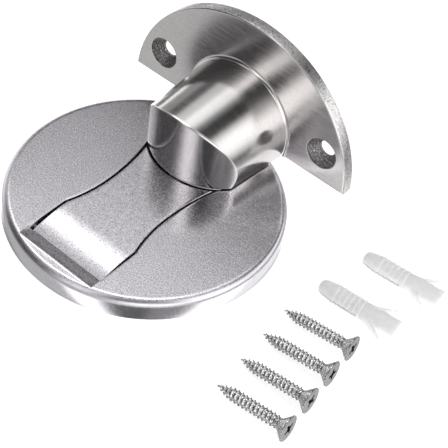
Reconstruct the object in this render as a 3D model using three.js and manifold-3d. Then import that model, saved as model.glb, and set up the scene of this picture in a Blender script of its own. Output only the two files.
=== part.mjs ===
// Magnetic floor door holder: a round floor disc with a flush hinged flap, a half-round door
// plate with a magnet boss, and the loose screws and wall anchors that come with them.
// Millimetres, +Z up. The origin is on the floor at the disc's centre; +Y points from the
// flap's hinge to the door plate, +X to the side where the loose fixings lie.

import * as THREE from "three";
import { mergeVertices } from "three/addons/utils/BufferGeometryUtils.js";
import Module from "manifold-3d";

const wasm = await Module();
wasm.setup();

// ---------------------------------------------------------------- driving dimensions

// Floor disc
const DISC_R = 30; // outer radius at the floor
const DISC_LEAN = 0.35; // how much the side wall leans in before the shoulder starts
const DISC_BOTTOM = 0.3; // the metal stands this far off the floor, on its pad
const DISC_TOP = 4.9;
const SHOULDER_R = 1.5; // rounded edge round the top face
const WEB_BOTTOM = 0.8; // ceiling of the pad recess
const WEB_TOP = 1.6; // floor of the flap recess
const ABOVE_WEB = WEB_TOP + 0.5; // how high the cuts through the web reach
const PAD_R = 26.9;
const PAD_RECESS_R = 27.2;
const FINGER_ROLL = { y: -27.5, r: 10.2 }; // the top rolls down from this y to the flap's end
const FLOOR_HOLE_Y = [-14.4, 3.6]; // the two floor screw holes, under the flap
const FLOOR_HOLE_R = 2.0;
const FLOOR_HOLE_MOUTH_R = 2.8;
const PAD_HOLE_R = 2.3;

// Flap
const FLAP_TOP = 4.8;
const FLAP_BOTTOM = 2.9;
const FLAP_GAP = 0.5; // between the flap and the recess round it
const TIP_GAP = 0.25; // between the flap's hollow end and the nose above it
const FLAP_END_HALF = 9.35; // half width of the straight hinge end
const FLAP_WAIST_HALF = 7.7;
const FLAP_TIP_HALF = 9.6; // half width where the sides meet the nose arc
const FLAP_BLOCK_Y = -14; // where the straight hinge end turns into the waist
const FLAP_WAIST_Y = -3.5;
const FLAP_TIP_Y = 11;
const PIN_Y = -22;
const PIN_Z = 2.6;
const PIN_R = 0.75;
const PIN_BORE_R = 0.82;
const PIN_HALF_LENGTH = 12.5;
const PIN_SEAT_HALF = PIN_HALF_LENGTH + 0.1;
const KNUCKLE_R = 1.5; // round end of the flap about the pin
const ROLL_LENGTH = 8.5; // the top face rolls down towards the hinge end over this length
const ROLL_R = 27;

// Steel armature let into the underside of the flap
const ARMATURE = { halfWidth: 5.6, y0: -17, y1: 3.5, thickness: 0.8, fit: 0.15 };
const RIVET_Y = [-14.5, 1];
const RIVET = { headR: 1.3, headHeight: 0.4, shankR: 0.7, shankTop: 4.3, fit: 0.1 };
const RIVET_HOLE = { r: 0.9, depth: 1.6 };

// Door plate
const PLATE_R = 30;
const PLATE_CENTRE_Z = 2.9; // centre of the round edge
const PLATE_CHORD_Z = 5.2; // straight lower edge
const PLATE_FRONT_Y = 29.2;
const PLATE_BACK_Y = 32.2;
const PLATE_BEVEL = 0.3;
const PLATE_HOLE = { x: 22.3, z: 12.3, r: 1.9, mouthR: 3.7, mouthDepth: 0.5, coneDepth: 1.8 };

// Magnet boss
const BOSS_Z = 8.6; // its axis
const BOSS_ROOT_R = 13.6;
const BOSS_TAPER = 0.075; // radius lost per millimetre from the plate towards the nose
const BOSS_FILLET_R = 0.8;
const NOSE_Y = 7.1; // foremost line of the nose
const NOSE_R = 15; // the nose is an upright cylinder of this radius
const POCKET = { z: 13.1, r: 6.3, y: 11.5 }; // magnet pocket, open at the plate
const MAGNET = { r: 6, y0: 11.8, y1: 19.8 };
const YOKE = { r: 6, y0: 19.8, y1: 21.8 };
const SPACER = { r: 5.9, wall: 1.6, y0: 21.8, y1: 29.1 };
const REAR_SCREW = { x: 9.9, z: 11.4, r: 1.2, headR: 2.3, headDepth: 1.3, length: 9, sunk: 0.2 };
const REAR_SCREW_TIP = { inset: 0.3, depth: 0.5 };
const REAR_HOLE = { r: 1.5, mouthR: 2.7, mouthDepth: 0.1, coneDepth: 1.2, spare: 0.6 };
const REAR_SLOT = { width: 0.5, depth: 0.8, span: 2.4 };

// Loose fixings
const SCREW = { length: 15.8, shankR: 1.4, headR: 2.7, headCone: 1.5, rim: 0.3, rimBevel: 0.15 };
const SCREW_TIP = { r: 0.12, length: 3.4, bulgeR: 1.0, bulgeAt: 1.9 };
const CROSS = { width: 0.62, span: 3.1, depth: 1.2 };
const SCREW_TIP_FIRST = [39.9, -24.2];
const SCREW_STEP = [-0.57, 7.6];
const SCREW_COUNT = 4;
const SCREW_YAW = 2.5;
const ANCHOR = { length: 18, r: 2.2, boreR: 1.25, boreLength: 14, rimR: 2.3, rimLength: 0.9 };
const ANCHOR_TIP = { r: 1.75, length: 4, bevel: 0.5 };
const ANCHOR_SLOT = { width: 0.5, length: 9.5 };
const BARB = { root: 11.6, length: 5.2, thickness: 0.7, width: 2.2, splay: 28, sunk: 0.5 };
const REST = 0.01; // the loose fixings stand this little above the floor
const ANCHOR_TIPS = [[39.8, 7.9], [42, 20.7]];
const ANCHOR_YAW = 4.5;

const PAST = 1; // how far a cutting tool runs past the face it cuts

// ---------------------------------------------------------------- solids and placing

const DEG = Math.PI / 180;

/** A closed three.js geometry as a manifold-3d solid. */
function solid(geometry) {
  geometry.deleteAttribute("normal");
  geometry.deleteAttribute("uv");
  const merged = mergeVertices(geometry, 1e-4);
  return new wasm.Manifold(
    new wasm.Mesh({
      numProp: 3,
      vertProperties: merged.getAttribute("position").array,
      triVerts: new Uint32Array(merged.index.array),
    }),
  );
}

/** A manifold-3d solid as a flat-shaded three.js geometry. */
function geometryOf(shape) {
  const mesh = shape.getMesh();
  const geometry = new THREE.BufferGeometry();
  geometry.setAttribute("position", new THREE.BufferAttribute(mesh.vertProperties, 3));
  geometry.setIndex(new THREE.BufferAttribute(mesh.triVerts, 1));
  const flat = geometry.toNonIndexed();
  flat.computeVertexNormals();
  return flat;
}

const union = (first, ...others) => others.reduce((sum, other) => sum.add(other), first);
const cut = (first, ...others) => others.reduce((rest, other) => rest.subtract(other), first);

/** A box between two corners. */
function block([x0, y0, z0], [x1, y1, z1]) {
  const geometry = new THREE.BoxGeometry(x1 - x0, y1 - y0, z1 - z0);
  geometry.translate((x0 + x1) / 2, (y0 + y1) / 2, (z0 + z1) / 2);
  return solid(geometry);
}

/** A (radius, height) profile turned about +Z. */
function turned(profile, segments) {
  const points = profile.map(([r, h]) => new THREE.Vector2(r, h));
  return solid(new THREE.LatheGeometry(points, segments).rotateX(90 * DEG));
}

/** A (radius, y) profile turned about a line along +Y through x, z. */
function turnedAlongY(profile, x, z, segments) {
  const points = profile.map(([r, y]) => new THREE.Vector2(r, y));
  return solid(new THREE.LatheGeometry(points, segments).translate(x, 0, z));
}

/** A round bar along +Y. */
const barY = (r, x, z, y0, y1, segments) =>
  turnedAlongY([[0, y0], [r, y0], [r, y1], [0, y1]], x, z, segments);

/** A round bar along +X. */
const barX = (r, y, z, x0, x1, segments) =>
  solid(
    new THREE.CylinderGeometry(r, r, x1 - x0, segments)
      .rotateZ(-90 * DEG)
      .translate((x0 + x1) / 2, y, z),
  );

/** A shape in the XY plane raised from z0 to z1. */
function raised(shape, z0, z1, curveSegments) {
  const options = { depth: z1 - z0, bevelEnabled: false, curveSegments };
  return solid(new THREE.ExtrudeGeometry(shape, options).translate(0, 0, z0));
}

/** A section whose own x, y are the model's y, z, drawn out evenly to both sides of x = 0. */
function drawnAlongX(section, halfWidth, curveSegments) {
  const options = { depth: 2 * halfWidth, bevelEnabled: false, curveSegments };
  const turn = new THREE.Matrix4().set(0, 0, 1, -halfWidth, 1, 0, 0, 0, 0, 1, 0, 0, 0, 0, 0, 1);
  return solid(new THREE.ExtrudeGeometry(section, options).applyMatrix4(turn));
}

/** Points of an arc on a profile, both ends included. */
function arc(centre, r, from, to, steps) {
  return Array.from({ length: steps + 1 }, (_, i) => {
    const angle = (from + ((to - from) * i) / steps) * DEG;
    return [centre[0] + r * Math.cos(angle), centre[1] + r * Math.sin(angle)];
  });
}

const model = new THREE.Group();

/** Adds one sub-part to the model. */
function part(name, shape, material, place = () => {}) {
  const mesh = new THREE.Mesh(geometryOf(shape), material.clone());
  mesh.name = name;
  place(mesh);
  model.add(mesh);
  return mesh;
}

// ---------------------------------------------------------------- materials

const metal = (color, roughness) =>
  new THREE.MeshStandardMaterial({ color, roughness, metalness: 1 });
const plastic = (color, roughness) =>
  new THREE.MeshStandardMaterial({ color, roughness, metalness: 0 });

const satinNickel = metal(0xb4b3b1, 0.32);
const bareSteel = metal(0x8c8d8f, 0.45);
const zincPlate = metal(0xa9aaa8, 0.38);
const magnetPlate = metal(0xc6c6c4, 0.18);
const padFoam = plastic(0x2b2b2c, 0.95);
const nylon = plastic(0xeeedf1, 0.5);
const spacerPlastic = plastic(0x3a3a3d, 0.6);

// ---------------------------------------------------------------- flap outline

/** Where a circle about (cx, cy) meets a circle about (0, ny), on the +X side, nearest the hinge. */
function circlesMeet(cx, cy, r, ny, nr) {
  const dx = -cx;
  const dy = ny - cy;
  const apart = Math.hypot(dx, dy);
  const along = (r * r - nr * nr + apart * apart) / (2 * apart);
  const off = Math.sqrt(r * r - along * along);
  const base = [cx + (dx * along) / apart, cy + (dy * along) / apart];
  return [-1, 1]
    .map((side) => [base[0] + (side * off * dy) / apart, base[1] - (side * off * dx) / apart])
    .sort((a, b) => a[1] - b[1])[0];
}

/** Radius of an arc that touches the waist and passes a point this far along and out. */
const waistArcR = (along, out) => (along * along + out * out) / (2 * out);

const REAR_ARC_R = waistArcR(FLAP_WAIST_Y - FLAP_BLOCK_Y, FLAP_END_HALF - FLAP_WAIST_HALF);
const FRONT_ARC_R = waistArcR(FLAP_TIP_Y - FLAP_WAIST_Y, FLAP_TIP_HALF - FLAP_WAIST_HALF);
const NOSE_CENTRE_Y = NOSE_Y + NOSE_R;
const TIP_ARC_R = NOSE_R + TIP_GAP;

/** The hourglass outline of the flap, grown outwards all round for the recess. */
function flapOutline(grow, yEnd) {
  const rearX = FLAP_WAIST_HALF + REAR_ARC_R;
  const frontX = FLAP_WAIST_HALF + FRONT_ARC_R;
  const rearR = REAR_ARC_R - grow;
  const frontR = FRONT_ARC_R - grow;
  const tipR = TIP_ARC_R - grow;
  const endHalf = FLAP_END_HALF + grow;
  const rearTurn = Math.acos((rearX - endHalf) / rearR);
  const corner = circlesMeet(frontX, FLAP_WAIST_Y, frontR, NOSE_CENTRE_Y, tipR);
  const frontTurn = Math.asin((corner[1] - FLAP_WAIST_Y) / frontR);
  const tipTurn = Math.atan2(corner[1] - NOSE_CENTRE_Y, corner[0]);

  const shape = new THREE.Shape();
  shape.moveTo(-endHalf, yEnd);
  shape.lineTo(endHalf, yEnd);
  shape.absarc(rearX, FLAP_WAIST_Y, rearR, Math.PI + rearTurn, Math.PI, true);
  shape.absarc(frontX, FLAP_WAIST_Y, frontR, Math.PI, Math.PI - frontTurn, true);
  shape.absarc(0, NOSE_CENTRE_Y, tipR, tipTurn, -Math.PI - tipTurn, true);
  shape.absarc(-frontX, FLAP_WAIST_Y, frontR, frontTurn, 0, true);
  shape.absarc(-rearX, FLAP_WAIST_Y, rearR, 0, -rearTurn, true);
  shape.closePath();
  return shape;
}

// ---------------------------------------------------------------- floor disc and its pad

const FLAP_END_Y = PIN_Y - KNUCKLE_R;
const ROLL_START_Y = FLAP_END_Y + ROLL_LENGTH;
const RECESS_END_Y = FLAP_END_Y - FLAP_GAP;
const WINDOW_FRONT_Y = PIN_Y + KNUCKLE_R + FLAP_GAP;

/** What is cut off the top where it rolls down to the flap's end, so that a finger gets under. */
function fingerRoll(halfWidth) {
  const turn = Math.asin((RECESS_END_Y - FINGER_ROLL.y) / FINGER_ROLL.r);
  const section = new THREE.Shape();
  section.moveTo(RECESS_END_Y + PAST, DISC_TOP + PAST);
  section.lineTo(FINGER_ROLL.y, DISC_TOP + PAST);
  section.lineTo(FINGER_ROLL.y, DISC_TOP);
  section.absarc(
    FINGER_ROLL.y,
    DISC_TOP - FINGER_ROLL.r,
    FINGER_ROLL.r,
    Math.PI / 2,
    Math.PI / 2 - turn,
    true,
  );
  section.lineTo(RECESS_END_Y + PAST, DISC_TOP - FINGER_ROLL.r + FINGER_ROLL.r * Math.cos(turn));
  section.closePath();
  return drawnAlongX(section, halfWidth, 6);
}

function makeFloorDisc() {
  const shoulderX = DISC_R - DISC_LEAN - SHOULDER_R;
  const body = turned(
    [
      [0, WEB_BOTTOM],
      [PAD_RECESS_R, WEB_BOTTOM],
      [PAD_RECESS_R, DISC_BOTTOM],
      [DISC_R, DISC_BOTTOM],
      ...arc([shoulderX, DISC_TOP - SHOULDER_R], SHOULDER_R, 0, 90, 6),
      [0, DISC_TOP],
    ],
    96,
  );
  const recess = raised(
    flapOutline(FLAP_GAP, RECESS_END_Y),
    WEB_TOP,
    DISC_TOP + PAST,
    14,
  );
  // The knuckle turns in a window through the web, which also lets the pin in from below.
  const half = FLAP_END_HALF + FLAP_GAP;
  const knuckleWindow = block(
    [-half, RECESS_END_Y, DISC_BOTTOM],
    [half, WINDOW_FRONT_Y, ABOVE_WEB],
  );
  const pinSlot = block(
    [-PIN_SEAT_HALF, PIN_Y - PIN_BORE_R, DISC_BOTTOM],
    [PIN_SEAT_HALF, PIN_Y + PIN_BORE_R, PIN_Z],
  );
  const pinSeat = barX(PIN_BORE_R, PIN_Y, PIN_Z, -PIN_SEAT_HALF, PIN_SEAT_HALF, 24);
  const screwHoles = FLOOR_HOLE_Y.map((y) =>
    turned(
      [
        [0, DISC_BOTTOM],
        [FLOOR_HOLE_R, DISC_BOTTOM],
        [FLOOR_HOLE_R, WEB_BOTTOM],
        [FLOOR_HOLE_MOUTH_R, WEB_TOP],
        [FLOOR_HOLE_MOUTH_R, ABOVE_WEB],
        [0, ABOVE_WEB],
      ],
      28,
    ).translate(0, y, 0),
  );
  return cut(body, recess, fingerRoll(half), knuckleWindow, pinSlot, pinSeat, ...screwHoles);
}

function makeFloorPad() {
  const pad = turned([[0, 0], [PAD_R, 0], [PAD_R, WEB_BOTTOM], [0, WEB_BOTTOM]], 64);
  const holes = FLOOR_HOLE_Y.map((y) =>
    turned([[0, -PAST], [PAD_HOLE_R, -PAST], [PAD_HOLE_R, PAST], [0, PAST]], 24).translate(0, y, 0),
  );
  return cut(pad, ...holes);
}

part("floor_disc", makeFloorDisc(), satinNickel);
part("floor_pad", makeFloorPad(), padFoam);

// ---------------------------------------------------------------- flap, hinge pin, armature

/** The hinge end in section: the top rolls down, the underside is round about the pin. */
function hingeEndSection() {
  const rollTurn = Math.asin(ROLL_LENGTH / ROLL_R);
  const underTurn = Math.asin((FLAP_BOTTOM - PIN_Z) / KNUCKLE_R);
  const section = new THREE.Shape();
  section.moveTo(ROLL_START_Y + PAST, FLAP_BOTTOM);
  section.lineTo(ROLL_START_Y + PAST, FLAP_TOP);
  section.lineTo(ROLL_START_Y, FLAP_TOP);
  section.absarc(
    ROLL_START_Y,
    FLAP_TOP - ROLL_R,
    ROLL_R,
    Math.PI / 2,
    Math.PI / 2 + rollTurn,
    false,
  );
  section.absarc(PIN_Y, PIN_Z, KNUCKLE_R, Math.PI, 2 * Math.PI + underTurn, false);
  section.closePath();
  return section;
}

function makeFlap() {
  const leaf = raised(flapOutline(0, ROLL_START_Y + PAST / 2), FLAP_BOTTOM, FLAP_TOP, 14);
  const end = drawnAlongX(hingeEndSection(), FLAP_END_HALF, 10);
  const bore = barX(PIN_BORE_R, PIN_Y, PIN_Z, -FLAP_END_HALF - PAST, FLAP_END_HALF + PAST, 24);
  const { halfWidth, y0, y1, thickness, fit } = ARMATURE;
  const pocket = block(
    [-halfWidth - fit, y0 - fit, FLAP_BOTTOM - PAST],
    [halfWidth + fit, y1 + fit, FLAP_BOTTOM + thickness],
  );
  const rivetHoles = RIVET_Y.map((y) =>
    turned(
      [
        [0, 0],
        [RIVET_HOLE.r, 0],
        [RIVET_HOLE.r, RIVET_HOLE.depth],
        [0, RIVET_HOLE.depth],
      ],
      16,
    ).translate(0, y, FLAP_BOTTOM),
  );
  return cut(union(leaf, end), bore, pocket, ...rivetHoles);
}

function makeArmature() {
  const plate = block(
    [-ARMATURE.halfWidth, ARMATURE.y0, FLAP_BOTTOM],
    [ARMATURE.halfWidth, ARMATURE.y1, FLAP_BOTTOM + ARMATURE.thickness],
  );
  const holes = RIVET_Y.map((y) =>
    turned(
      [
        [0, -PAST],
        [RIVET.headR + RIVET.fit, -PAST],
        [RIVET.headR + RIVET.fit, RIVET.headHeight],
        [RIVET.shankR + RIVET.fit, RIVET.headHeight],
        [RIVET.shankR + RIVET.fit, PAST],
        [0, PAST],
      ],
      20,
    ).translate(0, y, FLAP_BOTTOM),
  );
  return cut(plate, ...holes);
}

const makeRivet = (y) =>
  turned(
    [
      [0, FLAP_BOTTOM],
      [RIVET.headR, FLAP_BOTTOM],
      [RIVET.headR, FLAP_BOTTOM + RIVET.headHeight],
      [RIVET.shankR, FLAP_BOTTOM + RIVET.headHeight],
      [RIVET.shankR, RIVET.shankTop],
      [0, RIVET.shankTop],
    ],
    20,
  ).translate(0, y, 0);

part("flap", makeFlap(), satinNickel);
part("hinge_pin", barX(PIN_R, PIN_Y, PIN_Z, -PIN_HALF_LENGTH, PIN_HALF_LENGTH, 24), bareSteel);
part("flap_armature", makeArmature(), bareSteel);
RIVET_Y.forEach((y, i) => part(`armature_rivet_${i + 1}`, makeRivet(y), bareSteel));

// ---------------------------------------------------------------- door plate

/** A countersunk hole along +Y whose mouth is at yMouth and whose far end is past yFar. */
function countersunkY({ x, z, r, mouthR, mouthDepth, coneDepth }, yMouth, yFar) {
  const into = Math.sign(yFar - yMouth);
  const at = (depth) => yMouth + into * depth;
  const profile = [
    [0, at(-PAST)],
    [mouthR, at(-PAST)],
    [mouthR, at(mouthDepth)],
    [r, at(mouthDepth + coneDepth)],
    [r, yFar + into * PAST],
    [0, yFar + into * PAST],
  ];
  return turnedAlongY(into > 0 ? profile : profile.reverse(), x, z, 28);
}

function makeDoorPlate() {
  const edgeR = PLATE_R - PLATE_BEVEL;
  const chord = PLATE_CHORD_Z + PLATE_BEVEL;
  const turn = Math.asin((chord - PLATE_CENTRE_Z) / edgeR);
  const outline = new THREE.Shape();
  outline.absarc(0, PLATE_CENTRE_Z, edgeR, turn, Math.PI - turn, false);
  outline.closePath();
  const geometry = new THREE.ExtrudeGeometry(outline, {
    depth: PLATE_BACK_Y - PLATE_FRONT_Y - 2 * PLATE_BEVEL,
    bevelSize: PLATE_BEVEL,
    bevelThickness: PLATE_BEVEL,
    bevelSegments: 2,
    curveSegments: 56,
  });
  const plate = solid(geometry.rotateX(90 * DEG).translate(0, PLATE_BACK_Y - PLATE_BEVEL, 0));
  const doorHoles = [-1, 1].map((side) =>
    countersunkY({ ...PLATE_HOLE, x: side * PLATE_HOLE.x }, PLATE_FRONT_Y, PLATE_BACK_Y),
  );
  const rearHoles = [-1, 1].map((side) =>
    countersunkY(
      { ...REAR_HOLE, x: side * REAR_SCREW.x, z: REAR_SCREW.z },
      PLATE_BACK_Y,
      PLATE_FRONT_Y,
    ),
  );
  return cut(plate, ...doorHoles, ...rearHoles);
}

part("door_plate", makeDoorPlate(), satinNickel);

// ---------------------------------------------------------------- magnet boss and what is in it

const bossRadius = (y) => BOSS_ROOT_R - BOSS_TAPER * (PLATE_FRONT_Y - y);

function makeMagnetBoss() {
  const filletY = PLATE_FRONT_Y - BOSS_FILLET_R;
  const front = NOSE_Y - PAST;
  const cone = turnedAlongY(
    [
      [0, front],
      [bossRadius(front), front],
      [bossRadius(filletY), filletY],
      ...arc([bossRadius(filletY) + BOSS_FILLET_R, filletY], BOSS_FILLET_R, 180, 90, 4).slice(1),
      [0, PLATE_FRONT_Y],
    ],
    0,
    BOSS_Z,
    80,
  );
  const reach = BOSS_ROOT_R + 2;
  const top = BOSS_Z + reach;
  const nose = turned([[0, 0], [NOSE_R, 0], [NOSE_R, top], [0, top]], 96);
  const behindNose = block([-reach, NOSE_CENTRE_Y, 0], [reach, PLATE_FRONT_Y + PAST, top]);
  const aboveChord = block([-reach, 0, PLATE_CHORD_Z], [reach, PLATE_FRONT_Y + PAST, top]);
  const outside = cone
    .intersect(union(nose.translate(0, NOSE_CENTRE_Y, 0), behindNose))
    .intersect(aboveChord);
  const pocket = barY(POCKET.r, 0, POCKET.z, POCKET.y, PLATE_FRONT_Y + PAST, 48);
  const tapped = [-1, 1].map((side) =>
    barY(
      REAR_HOLE.r,
      side * REAR_SCREW.x,
      REAR_SCREW.z,
      PLATE_BACK_Y - REAR_SCREW.length - REAR_HOLE.spare,
      PLATE_FRONT_Y + PAST,
      20,
    ),
  );
  return cut(outside, pocket, ...tapped);
}

/** A tube that pushes the magnet forward from the back of the pocket. */
function makeSpacer() {
  const tube = barY(SPACER.r, 0, POCKET.z, SPACER.y0, SPACER.y1, 40);
  const bore = barY(SPACER.r - SPACER.wall, 0, POCKET.z, SPACER.y0 - PAST, SPACER.y1 + PAST, 32);
  return cut(tube, bore);
}

/** A countersunk machine screw from the back of the plate into the boss. */
function makeRearScrew(side) {
  const { x, z, r, headR, headDepth, length, sunk } = REAR_SCREW;
  const back = PLATE_BACK_Y - sunk;
  const tip = PLATE_BACK_Y - length;
  const body = turnedAlongY(
    [
      [0, tip],
      [r - REAR_SCREW_TIP.inset, tip],
      [r, tip + REAR_SCREW_TIP.depth],
      [r, back - headDepth + sunk],
      [headR, back - sunk],
      [headR, back],
      [0, back],
    ],
    side * x,
    z,
    24,
  );
  const slots = [0, 90].map((turn) =>
    solid(
      new THREE.BoxGeometry(REAR_SLOT.width, 2 * REAR_SLOT.depth, REAR_SLOT.span)
        .rotateY(turn * DEG)
        .translate(side * x, back, z),
    ),
  );
  return cut(body, ...slots);
}

part("magnet_boss", makeMagnetBoss(), satinNickel);
part("magnet", barY(MAGNET.r, 0, POCKET.z, MAGNET.y0, MAGNET.y1, 48), magnetPlate);
part("magnet_yoke", barY(YOKE.r, 0, POCKET.z, YOKE.y0, YOKE.y1, 48), bareSteel);
part("magnet_spacer", makeSpacer(), spacerPlastic);
part("boss_screw_1", makeRearScrew(-1), zincPlate);
part("boss_screw_2", makeRearScrew(1), zincPlate);

// ---------------------------------------------------------------- loose screws

/** A countersunk tapping screw along +Z: tip at the origin, head at the far end. */
function makeScrew() {
  const { length, shankR, headR, headCone, rim, rimBevel } = SCREW;
  const neck = length - rim - headCone;
  const body = turned(
    [
      [0, 0],
      [SCREW_TIP.r, 0],
      [SCREW_TIP.bulgeR, SCREW_TIP.bulgeAt],
      [shankR, SCREW_TIP.length],
      [shankR, neck],
      [headR, length - rim],
      [headR, length - rimBevel],
      [headR - 2 * rimBevel, length],
      [0, length],
    ],
    32,
  );
  const { width, span, depth } = CROSS;
  const blades = [0, 90].map((turn) =>
    solid(
      new THREE.CylinderGeometry(span / 2, span / 4, depth + PAST, 4)
        .rotateY(45 * DEG)
        .scale(1, 1, (width * Math.SQRT2) / span)
        .rotateX(90 * DEG)
        .rotateZ(turn * DEG)
        .translate(0, 0, length - depth + (depth + PAST) / 2),
    ),
  );
  return cut(body, ...blades);
}

// A screw lies on the start of its full shank and on the rim of its head, so its axis climbs
// towards the head.
const SCREW_CLIMB = Math.atan(
  (SCREW.headR - SCREW.shankR) / (SCREW.length - SCREW.rim - SCREW_TIP.length),
);
const SCREW_TIP_Z =
  SCREW.shankR * Math.cos(SCREW_CLIMB) - SCREW_TIP.length * Math.sin(SCREW_CLIMB) + REST;

for (let i = 0; i < SCREW_COUNT; i++) {
  part(`wood_screw_${i + 1}`, makeScrew(), zincPlate, (mesh) => {
    mesh.rotation.set(0, 90 * DEG - SCREW_CLIMB, SCREW_YAW * DEG, "ZYX");
    mesh.position.set(
      SCREW_TIP_FIRST[0] + i * SCREW_STEP[0],
      SCREW_TIP_FIRST[1] + i * SCREW_STEP[1],
      SCREW_TIP_Z,
    );
  });
}

// ---------------------------------------------------------------- loose wall anchors

/** A nylon anchor along +X: split tip at the origin, open mouth at the far end. */
function makeAnchor() {
  const { length, r, boreR, boreLength, rimR, rimLength } = ANCHOR;
  const outside = turned(
    [
      [0, 0],
      [ANCHOR_TIP.r - ANCHOR_TIP.bevel, 0],
      [ANCHOR_TIP.r, ANCHOR_TIP.bevel],
      [r, ANCHOR_TIP.length],
      [r, length - rimLength - (rimR - r)],
      [rimR, length - rimLength],
      [rimR, length],
      [0, length],
    ],
    32,
  );
  const barbs = [-1, 1].map((side) => {
    const fin = new THREE.BoxGeometry(BARB.thickness, BARB.width, BARB.length)
      .translate(0, 0, BARB.length / 2)
      .rotateY(side * BARB.splay * DEG)
      .translate(side * (r - BARB.sunk), 0, BARB.root);
    return solid(fin);
  });
  const bore = turned(
    [
      [0, length - boreLength],
      [boreR, length - boreLength],
      [boreR, length + PAST],
      [0, length + PAST],
    ],
    24,
  );
  const slot = block(
    [-r - PAST, -ANCHOR_SLOT.width / 2, -PAST],
    [r + PAST, ANCHOR_SLOT.width / 2, ANCHOR_SLOT.length],
  );
  return cut(union(outside, ...barbs), bore, slot);
}

ANCHOR_TIPS.forEach(([x, y], i) => {
  part(`wall_anchor_${i + 1}`, makeAnchor(), nylon, (mesh) => {
    // The barbs lie flat on the floor side to side, so the anchor rests on its mouth rim.
    mesh.rotation.set(90 * DEG, 90 * DEG + ANCHOR_YAW * DEG, 0);
    mesh.position.set(x, y, ANCHOR.rimR + REST);
  });
});

export default model;
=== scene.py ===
import math

import bmesh
import bpy
from mathutils import Matrix, Vector
from mathutils.geometry import tessellate_polygon


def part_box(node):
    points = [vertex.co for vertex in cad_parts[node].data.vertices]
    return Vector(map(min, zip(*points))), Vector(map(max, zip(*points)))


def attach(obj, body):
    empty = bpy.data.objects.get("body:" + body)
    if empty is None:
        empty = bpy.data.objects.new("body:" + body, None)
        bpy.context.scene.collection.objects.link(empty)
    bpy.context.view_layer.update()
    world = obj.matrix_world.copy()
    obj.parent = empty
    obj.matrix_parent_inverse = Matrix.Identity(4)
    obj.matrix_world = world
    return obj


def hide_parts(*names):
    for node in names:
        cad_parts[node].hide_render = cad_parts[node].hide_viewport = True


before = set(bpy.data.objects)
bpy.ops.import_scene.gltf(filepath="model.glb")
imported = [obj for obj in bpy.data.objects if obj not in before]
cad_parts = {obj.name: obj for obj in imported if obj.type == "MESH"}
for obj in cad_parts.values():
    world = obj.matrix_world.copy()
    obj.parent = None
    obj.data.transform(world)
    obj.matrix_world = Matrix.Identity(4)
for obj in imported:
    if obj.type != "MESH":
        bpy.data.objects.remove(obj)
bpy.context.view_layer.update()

# Lengths below are in millimetres; MM turns them into Blender's metres.
MM = 0.001
DEG = math.pi / 180
MERGE_DISTANCE = 1e-3
ON_AXIS = 1e-6


def node_box(name):
    """Lowest and highest corner of a CAD node, in millimetres."""
    low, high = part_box(name)
    return low / MM, high / MM


# ---------------------------------------------------------------- mesh building


class Shell:
    """Rings of points, skinned together into one closed surface."""

    def __init__(self):
        self.points = []
        self.faces = []

    def ring(self, points):
        start = len(self.points)
        self.points.extend(tuple(map(float, p)) for p in points)
        return list(range(start, len(self.points)))

    def skin(self, *rings, closed=True):
        for a, b in zip(rings, rings[1:]):
            last = len(a) if closed else len(a) - 1
            for i in range(last):
                j = (i + 1) % len(a)
                self.faces.append((a[i], a[j], b[j], b[i]))

    def fan(self, ring, centre):
        tip = self.ring([centre])[0]
        for i, a in enumerate(ring):
            self.faces.append((a, ring[(i + 1) % len(ring)], tip))

    def cap(self, *rings):
        """A flat face inside the first ring, with the others as its holes."""
        flat = [i for ring in rings for i in ring]
        loops = [[Vector(self.points[i]) for i in ring] for ring in rings]
        for tri in tessellate_polygon(loops):
            self.faces.append(tuple(flat[i] for i in tri))

    def mesh_object(self, name, origin=(0, 0, 0)):
        origin = Vector(origin)
        mesh = bpy.data.meshes.new(name)
        mesh.from_pydata([(Vector(p) - origin) * MM for p in self.points], [], self.faces)
        bm = bmesh.new()
        bm.from_mesh(mesh)
        bmesh.ops.remove_doubles(bm, verts=bm.verts, dist=MERGE_DISTANCE * MM)
        bmesh.ops.recalc_face_normals(bm, faces=bm.faces)
        bm.to_mesh(mesh)
        bm.free()
        piece = bpy.data.objects.new(name, mesh)
        piece.location = origin * MM
        bpy.context.scene.collection.objects.link(piece)
        return piece


def apply_modifiers(piece):
    bpy.context.view_layer.update()
    graph = bpy.context.evaluated_depsgraph_get()
    mesh = bpy.data.meshes.new_from_object(piece.evaluated_get(graph))
    piece.modifiers.clear()
    piece.data = mesh


def combine(piece, operation, tools):
    """Joins the tools' shapes to a piece or takes them out of it, and removes the tools."""
    for tool in tools:
        modifier = piece.modifiers.new(operation.lower(), "BOOLEAN")
        modifier.operation = operation
        modifier.solver = "EXACT"
        modifier.object = tool
    apply_modifiers(piece)
    for tool in tools:
        bpy.data.objects.remove(tool)


def cut_away(piece, *tools):
    combine(piece, "DIFFERENCE", tools)


def shade(piece, crease=32):
    """Smooth shading, with creases where faces meet at more than this many degrees."""
    piece.data.shade_smooth()
    piece.data.set_sharp_from_angle(angle=crease * DEG)


def circle(r, steps):
    """Points of a circle about the origin, as (x, y)."""
    angles = [2 * math.pi * i / steps for i in range(steps)]
    return [(r * math.cos(a), r * math.sin(a)) for a in angles]


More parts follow.
